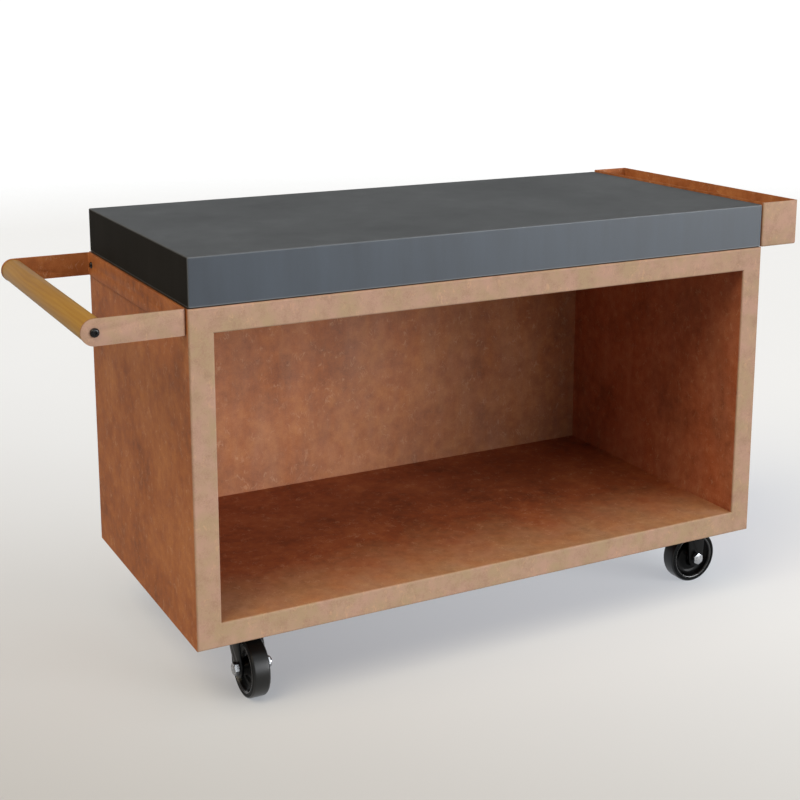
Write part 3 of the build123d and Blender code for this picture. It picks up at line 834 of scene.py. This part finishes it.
@dataclass(frozen=True)
class HexBolt:
    """A hexagon bolt with a round face under its head. Its seat is at zero and its head upwards."""

    flats: float
    head: float
    shank: float
    length: float
    face_diameter: float
    face: float
    chamfer: float
    pitch: float = 1.25
    threads: int = 4
    thread_depth: float = 0.6
    crest: tuple[float, float] = (0.45, 0.55)
    runout: float = 1.0
    ease: float = 0.2
    crown: float = 0.2
    crown_share: float = 0.30
    crown_ease: Ring = (0.4, 0.1)

    def build(self, bench: Bench) -> bpy.types.Object:
        """Turn the threaded shank, the face and the crown, and join the hexagon to them."""
        radius = self.shank / 2
        root = radius - self.thread_depth * self.pitch
        rings = [(root, -self.length), (root, self.ease - self.length)]
        for thread in range(self.threads):
            start = self.ease - self.length + thread * self.pitch
            rings += [(radius, start + share * self.pitch) for share in self.crest]
            rings.append((root, start + self.pitch))
        rim = self.face_diameter / 2
        crown_radius = self.crown_share * self.flats
        top = self.face + self.head
        inward, down = self.crown_ease
        rings += [(radius, rings[-1][1] + self.runout), (radius, 0.0), (rim - self.ease, 0.0),
                  (rim, self.ease), (rim, self.face + self.ease), (crown_radius, self.face + 2 * self.ease),
                  (crown_radius, top - down), (crown_radius - inward, top)]
        bolt = bench.turn(rings, bench.sides)
        bench.cut(bolt, bench.hexagon(self.flats, self.face, top - self.crown, self.chamfer), Cut.JOIN)
        bench.smooth(bolt)
        return bolt


@dataclass(frozen=True)
class LockNut:
    """A hexagon lock nut with a round face and a rolled collar, its seat at zero and its collar upwards.

    The roll is how far inside the collar and how far below the top each of its edges lies.
    """

    flats: float
    height: float
    bore: float
    face_diameter: float
    face: float
    chamfer: float
    collar: float = 3.0
    collar_share: float = 0.45
    ease: float = 0.2
    roll: tuple[Ring, ...] = ((0.0, 1.5), (0.3, 0.75), (0.8, 0.1), (1.4, 0.0))

    def build(self, bench: Bench) -> bpy.types.Object:
        """Turn the face and the collar, join the hexagon to them and bore it."""
        rim = self.face_diameter / 2
        collar = self.collar_share * self.flats
        top = self.face + self.height
        rings = [(rim, 0.0), (rim, self.face + self.ease), (collar, self.face + 2 * self.ease)]
        rings += [(collar - inward, top - down) for inward, down in self.roll]
        nut = bench.turn(rings, bench.sides)
        hexagon = bench.hexagon(self.flats, self.face, top - self.collar, self.chamfer)
        bench.cut(nut, hexagon, Cut.JOIN)
        drill = bench.blank(self.bore / 2, -bench.overshoot, top + bench.overshoot, bench.sides)
        bench.cut(nut, drill, Cut.REMOVE)
        bench.smooth(nut)
        return nut


@dataclass
class Cabinet(SubAssembly):
    """The bolts that hold the caster plates under the cabinet."""

    plates: tuple[str, ...] = ("front_left_caster_plate", "back_left_caster_plate", "front_right_fork",
                               "back_right_fork")
    hole_length: float = 80.0
    hole_width: float = 60.0
    bolt: HexBolt = HexBolt(flats=13.0, head=4.8, shank=8.0, length=21.5, face_diameter=11.6, face=0.5,
                            chamfer=1.1)

    def build(self) -> None:
        """Make one bolt and copy it to each hole of each plate."""
        seats = [(hole, -UP) for plate in self.plates for hole in self._holes(plate)]
        self.pieces["caster_plate_bolts"] = self.bench.placed_all(self.bolt.build(self.bench), seats)

    def _holes(self, plate: str) -> list[Vector]:
        """The middles of a plate's four holes, level with its lower face."""
        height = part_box("caster_plate_bolts")[0].z + (self.bolt.face + self.bolt.head) * MM
        low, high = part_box(plate)
        middle = (low + high) / 2
        reach = Vector((self.hole_length, self.hole_width)) * MM / 2
        if high.x - low.x < high.y - low.y:
            reach = reach.yx
        return [Vector((middle.x + end * reach.x, middle.y + side * reach.y, height))
                for end in (-1, 1) for side in (-1, 1)]


@dataclass
class Planter(SubAssembly):
    """The trough with eased edges and the screws that hang it on the worktop."""

    edge: float = 0.6

    def build(self) -> None:
        """Ease the trough and make its screws."""
        self.pieces["planter_trough"] = self.bench.eased_copy("planter_trough", self.edge)
        low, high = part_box("planter_bolts")
        screw = ButtonScrew((high.x - low.x) / MM)
        reach = (high.y - low.y) / 2 - screw.head_diameter * MM / 2
        middle = (low + high) / 2
        seats = [(Vector((high.x - screw.head * MM, middle.y + side * reach, middle.z)), ALONG)
                 for side in (-1, 0, 1)]
        self.pieces["planter_bolts"] = self.bench.placed_all(screw.build(self.bench), seats)


@dataclass
class Handle(SubAssembly):
    """The bent strip with eased edges, its wooden bar and their screws."""

    edge: float = 0.7
    bar_round: float = 1.4
    bar_sides: int = 96
    bar_screw: ButtonScrew = ButtonScrew(27.5, head_diameter=17.5, head=5.5, socket=6.0, shank=10.0)

    def build(self) -> None:
        """Make the strip, the bar, the two screws of the bar and the two bolts of the strip."""
        self.pieces["handle_bracket"] = self.bench.eased_copy("handle_bracket", self.edge)
        self._bar()
        self._bar_screws()
        self._bolts()

    def _bar(self) -> None:
        """Turn the bar with rounded ends."""
        low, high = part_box("handle_bar")
        radius = (high.z - low.z) / 2 / MM
        half = (high.y - low.y) / 2 / MM
        rings = [(radius, half - self.bar_round)]
        for angle in (22.5, 45.0, 67.5, 90.0):
            turn = math.radians(angle)
            rings.append((radius - self.bar_round * (1 - math.cos(turn)),
                          half - self.bar_round * (1 - math.sin(turn))))
        bar = self.bench.turn_both(rings, self.bar_sides)
        self.bench.smooth(bar)
        self.pieces["handle_bar"] = self.bench.placed(bar, (low + high) / 2, BACK)
        self.bench.scrap(bar)

    def _bar_screws(self) -> None:
        """Screws through the arms into the ends of the bar."""
        low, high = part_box("handle_bar_screws")
        middle = (low + high) / 2
        head = self.bar_screw.head * MM
        seats = [(Vector((middle.x, low.y + head, middle.z)), -BACK),
                 (Vector((middle.x, high.y - head, middle.z)), BACK)]
        screw = self.bar_screw.build(self.bench)
        self.pieces["handle_bar_screws"] = self.bench.placed_all(screw, seats)

    def _bolts(self) -> None:
        """Bolts through the back plate into the cabinet."""
        low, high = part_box("handle_bolts")
        bolt = ButtonScrew((high.x - low.x) / MM)
        reach = bolt.head_diameter * MM / 2
        seats = [(Vector((low.x + bolt.head * MM, y, (low.z + high.z) / 2)), -ALONG)
                 for y in (low.y + reach, high.y - reach)]
        self.pieces["handle_bolts"] = self.bench.placed_all(bolt.build(self.bench), seats)


@dataclass
class Casters(SubAssembly):
    """Four casters: turned wheels, axle bolts with lock nuts, and pressed forks with eased edges."""

    swivels: tuple[str, ...] = ("front_left", "back_left")
    fixed: tuple[str, ...] = ("front_right", "back_right")
    tread_width: float = 26.0
    shoulder: float = 6.0
    seat_radius: float = 52.5
    rim_width: float = 35.0
    rim_lip: float = 4.0
    lip_bead: float = 1.2
    bead_steps: int = 6
    web: float = 10.0
    boss_radius: float = 16.0
    bore_radius: float = 10.58
    sidewall_groove: float = 0.5
    sidewall_ease: float = 0.3
    sidewall_slope: float = 0.2
    tread_gloss: float = 0.5
    lip_gloss: float = 0.1
    fork_width: float = 56.0
    axle_diameter: float = 16.0
    axle_flats: float = 24.0
    axle_head: float = 10.0
    axle_nut: float = 13.0
    axle_tail: float = 2.0
    axle_pitch: float = 2.0
    axle_threads: int = 3
    axle_crown: float = 0.6
    head_chamfer: float = 1.8
    nut_chamfer: float = 1.6
    nut_play: float = 0.2
    face_diameter: float = 22.5
    face: float = 0.8
    boss_chamfer: float = 0.6
    fork_edge: float = 0.9
    plate_edge: float = 0.6
    steps: int = 10
    sides: int = 128

    def build(self) -> None:
        """Make one of each piece that repeats, and place it at every corner."""
        length = self.fork_width + self.face + self.axle_nut + self.axle_tail
        bolt = HexBolt(self.axle_flats, self.axle_head, self.axle_diameter, length, self.face_diameter,
                       self.face, self.head_chamfer, self.axle_pitch, self.axle_threads,
                       crown=self.axle_crown)
        nut = LockNut(self.axle_flats, self.axle_nut, self.axle_diameter + self.nut_play, self.face_diameter,
                      self.face, self.nut_chamfer)
        masters = {
            "tyre": self._tyre(),
            "wheel_hub": self._hub(),
            "axle_bolt": bolt.build(self.bench),
            "axle_nut": nut.build(self.bench),
        }
        for corner in self.swivels + self.fixed:
            centre, axle = self._axle_line(corner)
            seat = axle * (self.fork_width / 2 * MM)
            places = {
                "tyre": (centre, axle),
                "wheel_hub": (centre, axle),
                "axle_bolt": (centre - seat, -axle),
                "axle_nut": (centre + seat, axle),
            }
            for name, (where, way) in places.items():
                self.pieces[f"{corner}_{name}"] = self.bench.placed(masters[name], where, way)
            self.pieces[f"{corner}_fork"] = self.bench.eased_copy(f"{corner}_fork", self.fork_edge)
        for corner in self.swivels:
            plate = f"{corner}_caster_plate"
            self.pieces[plate] = self.bench.eased_copy(plate, self.plate_edge)
        self.bench.scrap(*masters.values())

    def _axle_line(self, corner: str) -> tuple[Vector, Vector]:
        """The middle of a wheel and the way of its axle."""
        low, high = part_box(f"{corner}_tyre")
        across = high.x - low.x < high.y - low.y
        return (low + high) / 2, ALONG if across else BACK

    def _tyre(self) -> bpy.types.Object:
        """A solid tyre: flat tread, round shoulders, and a sidewall with one fine groove."""
        low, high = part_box("front_left_tyre")
        radius = (high.z - low.z) / 2 / MM
        half = (high.x - low.x) / 2 / MM
        tread = self.tread_width / 2
        foot = radius - self.shoulder
        rings = [(radius, tread)]
        for step in range(1, self.steps + 1):
            angle = math.pi / 2 * step / self.steps
            rings.append((foot + self.shoulder * math.cos(angle), tread + (half - tread) * math.sin(angle)))
        inner = self.seat_radius + half - self.rim_width / 2
        groove = (foot + inner) / 2
        depth = self.sidewall_groove
        rings += [(groove + depth, half), (groove, half - depth), (groove - depth, half),
                  (inner + self.sidewall_ease, half),
                  (inner - self.sidewall_slope, half - self.sidewall_ease),
                  (self.seat_radius, self.rim_width / 2)]
        tyre = self.bench.turn_both(rings, self.sides, bored=True)
        self.bench.smooth(tyre)
        self.bench.mark(tyre, foot + self.tread_gloss * self.shoulder)
        return tyre

    def _hub(self) -> bpy.types.Object:
        """A dished hub with a beaded rim lip and a bored boss."""
        half = self.rim_width / 2
        low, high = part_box("front_left_wheel_hub")
        boss_half = (high.x - low.x) / 2 / MM
        rings = [(self.seat_radius, half)]
        bead = self.rim_lip / 2
        for step in range(1, self.bead_steps):
            angle = math.pi * step / self.bead_steps
            rings.append((self.seat_radius - bead / 2 * (1 - math.cos(angle)),
                          half + self.lip_bead * math.sin(angle)))
        rim = self.seat_radius - self.rim_lip
        rings += [(self.seat_radius - bead, half), (rim, half - self.rim_lip / 2)]
        rings += self._dish(rim, half)
        rings += [(self.boss_radius, boss_half - self.boss_chamfer),
                  (self.boss_radius - self.boss_chamfer, boss_half), (self.bore_radius, boss_half)]
        hub = self.bench.turn_both(rings, self.sides, bored=True)
        self.bench.smooth(hub)
        self.bench.mark(hub, rim + self.lip_gloss)
        return hub

    def _dish(self, rim: float, half: float) -> list[Ring]:
        """The round dish between the rim lip and the boss, through the web's face.

        Args:
            rim: radius of the lip's inner edge.
            half: half the width of the rim.

        Returns:
            Rings from the lip to the boss.
        """
        start = Vector((rim, half - self.rim_lip / 2))
        end = Vector((self.boss_radius + self.rim_lip / 2, half - self.rim_lip))
        deep = Vector(((self.boss_radius + rim) / 2, self.web / 2))
        chord = end - start
        sag = abs(chord.x * (deep.y - start.y) - chord.y * (deep.x - start.x)) / chord.length
        radius = (chord.length ** 2 / 4 + sag ** 2) / (2 * sag)
        outward = Vector((-chord.y, chord.x)).normalized()
        if outward.y < 0:
            outward = -outward
        centre = (start + end) / 2 + outward * (radius - sag)
        first = math.atan2(start.y - centre.y, start.x - centre.x)
        last = math.atan2(end.y - centre.y, end.x - centre.x)
        sweep = (last - first) % (-2 * math.pi)
        angles = [first + sweep * step / self.steps for step in range(1, self.steps + 1)]
        return [(centre.x + radius * math.cos(turn), centre.y + radius * math.sin(turn)) for turn in angles]


@dataclass
class Lamp:
    """A broad far lamp, soft as a large studio panel."""

    name: str
    stands: Point
    strength: float
    spread: float
    colour: Colour

    def build(self) -> None:
        """Hang the lamp where it stands, seen from the middle of the floor."""
        data = bpy.data.lights.new(self.name, "SUN")
        data.energy = self.strength
        data.angle = math.radians(self.spread)
        data.color = self.colour
        lamp = bpy.data.objects.new(self.name, data)
        bpy.context.scene.collection.objects.link(lamp)
        lamp.location = self.stands
        lamp.rotation_euler = Vector(self.stands).to_track_quat("Z", "Y").to_euler()


@dataclass
class Studio:
    """Pale floor that turns grey at the front left, soft lamps, a plain surround and the camera."""

    floor_radius: float = 9.0
    floor_fade: float = 3.5
    floor_pale: Colour = (0.46, 0.46, 0.46)
    floor_glow: float = 0.44
    glow_colour: Colour = (0.92, 0.97, 1.04)
    glow_edge: Point = (-0.75, 0.0, 0.0)
    glow_side: Point = (0.8, 0.6, 0.0)
    glow_width: float = 2.6
    white: float = 1.12
    grey: float = 0.20
    white_side: Point = (0.894, 0.447, 0.0)
    overhead: float = 0.30
    tint: Colour = (0.98, 0.99, 1.0)
    camera_place: Point = (-1.4481, -2.7180, 1.4006)
    camera_pitch: float = 11.438
    camera_yaw: float = 27.667
    camera_lens: float = 63.79
    camera_shift: float = -0.16
    lamps: tuple[Lamp, ...] = (
        Lamp("key_lamp", (2.7, -3.1, 0.64), 1.9, 26.0, (0.96, 0.98, 1.0)),
        Lamp("fill_lamp", (0.75, -3.0, 0.80), 0.88, 36.0, (0.97, 0.99, 1.0)),
        Lamp("top_lamp", (0.5, -1.3, 2.9), 0.30, 35.0, (0.97, 0.99, 1.0)),
        Lamp("left_lamp", (-2.0, -0.7, 2.7), 2.0, 45.0, (1.0, 0.85, 0.61)),
    )

    def build(self) -> None:
        """Set up the whole studio."""
        self._surround()
        self._floor()
        for lamp in self.lamps:
            lamp.build()
        self._camera()
        bpy.context.scene.view_settings.view_transform = "Standard"

    def _surround(self) -> None:
        """Studio walls, white at the back and right and grey at the front left, under a darker ceiling."""
        world = bpy.data.worlds.new("studio")
        world.use_nodes = True
        bpy.context.scene.world = world
        graph = Graph(world.node_tree)
        way = graph.add("ShaderNodeTexCoord", output="Generated")
        side = graph.vector("DOT_PRODUCT", way, self.white_side, output="Value")
        height = graph.part(way, "Z")
        walls = self.grey + (self.white - self.grey) * graph.spread(side, -0.2, 0.35)
        strength = walls + (self.overhead - walls) * graph.spread(height, 0.04, 0.30)
        shader = graph.add("ShaderNodeBackground", None, {"Color": (*self.tint, 1.0), "Strength": strength})
        graph.add("ShaderNodeOutputWorld", None, {"Surface": shader})

    def _floor(self) -> None:
        """A pale floor under the wheels that fades out into the surround."""
        bpy.ops.object.select_all(action="DESELECT")
        bpy.ops.mesh.primitive_circle_add(vertices=96, radius=self.floor_radius, fill_type="NGON")
        floor = bpy.context.object
        floor.name = "studio_floor"
        made = bpy.data.materials.new("studio_floor")
        made.use_nodes = True
        graph = Graph(made.node_tree)
        away = graph.vector("LENGTH", graph.place(), output="Value")
        from_edge = graph.place(centre=self.glow_edge)
        across = graph.vector("DOT_PRODUCT", from_edge, self.glow_side, output="Value")
        lit = graph.add("ShaderNodeMapRange", {"interpolation_type": "SMOOTHSTEP"},
                        {"Value": across, "From Min": -self.glow_width / 2, "From Max": self.glow_width / 2})
        colour = graph.mix(graph.noise(3.0), self.floor_pale, tuple(0.98 * c for c in self.floor_pale))
        matt = graph.add("ShaderNodeBsdfDiffuse", None, {"Color": colour})
        camera, glossy, passed = (graph.add("ShaderNodeLightPath", output=f"Is {ray} Ray")
                                  for ray in ("Camera", "Glossy", "Transmission"))
        seen = graph.math("MAXIMUM", graph.math("MAXIMUM", camera, glossy), passed)
        glow = graph.add("ShaderNodeEmission", None,
                         {"Color": (*self.glow_colour, 1.0), "Strength": self.floor_glow * seen * lit})
        solid = graph.add("ShaderNodeAddShader", None, {0: matt, 1: glow})
        clear = graph.add("ShaderNodeBsdfTransparent")
        fade = graph.spread(away, self.floor_radius - self.floor_fade, self.floor_radius)
        shader = graph.add("ShaderNodeMixShader", None, {0: fade, 1: solid, 2: clear})
        graph.add("ShaderNodeOutputMaterial", None, {"Surface": shader})
        floor.data.materials.append(made)

    def _camera(self) -> None:
        """The photograph's view."""
        data = bpy.data.cameras.new("camera")
        data.lens = self.camera_lens
        data.shift_y = self.camera_shift
        camera = bpy.data.objects.new("camera", data)
        bpy.context.scene.collection.objects.link(camera)
        camera.location = self.camera_place
        camera.rotation_euler = (math.radians(90 - self.camera_pitch), 0, math.radians(-self.camera_yaw))
        bpy.context.scene.camera = camera


def finish_shelf() -> FinishShelf:
    """Paint the finish of every slot, and the finishes of nodes that differ from their slot."""
    low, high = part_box("handle_bar")
    sides = ("panel", "front_apron", "back_apron", "left_apron", "right_apron")
    slab = [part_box(f"worktop_{side}") for side in sides]
    corner = Vector([min(box[0][axis] for box in slab) for axis in range(3)])
    far = Vector([max(box[1][axis] for box in slab) for axis in range(3)])
    ceramic = HonedCeramic(Slot.WORKTOP_CERAMIC, tuple((corner + far) / 2), tuple((far - corner) / 2))
    rust = RustPatina(Slot.WEATHERING_STEEL)
    return FinishShelf([
        rust,
        ceramic,
        OiledWood(Slot.HANDLE_WOOD, bar_centre=tuple((low + high) / 2)),
        PlatedSteel(Slot.BRIGHT_ZINC),
        PlatedSteel(Slot.GALVANISED_STEEL, (0.30, 0.31, 0.32), (0.46, 0.47, 0.48), 0.40, 0.55),
        PlatedSteel(Slot.BEARING_STEEL, (0.45, 0.45, 0.45), (0.60, 0.60, 0.60), 0.12, 0.20),
        BlackCoat(Slot.BLACK_SCREW, (0.002, 0.002, 0.003), (0.005, 0.005, 0.006), 0.16, 0.24, 1.4),
        BlackCoat(Slot.CASTER_BLACK, (0.0010, 0.0011, 0.0013), (0.0030, 0.0031, 0.0034), 0.28, 0.38, 1.22,
                  peel=900.0, relief=0.16),
        MouldedHub(Slot.HUB_BLACK, (0.0010, 0.0010, 0.0011), (0.0028, 0.0028, 0.0030), 0.18, 0.26, 1.18),
        WheelRubber(Slot.TYRE_RUBBER),
    ], {
        # Back panel: its dust wisps are partly painted sheen, the pinkish light on its lit part.
        "cabinet_back_panel": replace(rust, dust=0.24, reach=8.0, ior=1.5),
        # Bottom wall: a darker copy, painted shade at the back, with a painted golden tan and dust at the
        # front where light falls in.
        "cabinet_bottom_wall": replace(rust, dust=0.40, lit_tan_share=0.72, reach=0.22,
                                       dark=(0.150, 0.037, 0.013), middle=(0.280, 0.072, 0.025),
                                       light=(0.405, 0.132, 0.047)),
        # Right wall: a lighter, bluer, dustier copy, painted light on its shaded inner face.
        "cabinet_right_wall": replace(rust, dust=0.15, reach=8.0, dark=(0.205, 0.053, 0.020),
                                      middle=(0.370, 0.103, 0.042), light=(0.490, 0.170, 0.076)),
        # Top wall: a painted shadow on its top face, in the gap under the slab.
        "cabinet_top_wall": replace(rust, gap_shadow_level=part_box("cabinet_top_wall")[1].z),
        # Handle strip: the painted sheen on the front face of its front arm.
        "handle_bracket": replace(rust, front=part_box("handle_bracket")[0].y),
        # Front apron: a bluer copy of the ceramic, painted cool light on the front face.
        "worktop_front_apron": replace(ceramic, dark=(0.005, 0.012, 0.023), light=(0.018, 0.031, 0.050),
                                       smooth=0.38, rough=0.45, ior=1.6),
        # Left apron: a darker copy without reflection, painted shade on the left face.
        "worktop_left_apron": replace(ceramic, dark=(0.016, 0.015, 0.014), light=(0.025, 0.024, 0.023),
                                      ior=1.05),
    })


def main() -> None:
    """Dress the table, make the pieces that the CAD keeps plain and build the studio."""
    logging.basicConfig(level=logging.INFO, format="%(message)s")
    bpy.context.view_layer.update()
    shelf = finish_shelf()
    shelf.dress_nodes()
    bench = Bench()
    for assembly in (Cabinet(bench), Planter(bench), Handle(bench), Casters(bench)):
        assembly.build()
        assembly.dress(shelf)
    Studio().build()


if __name__ == "__main__":
    main()
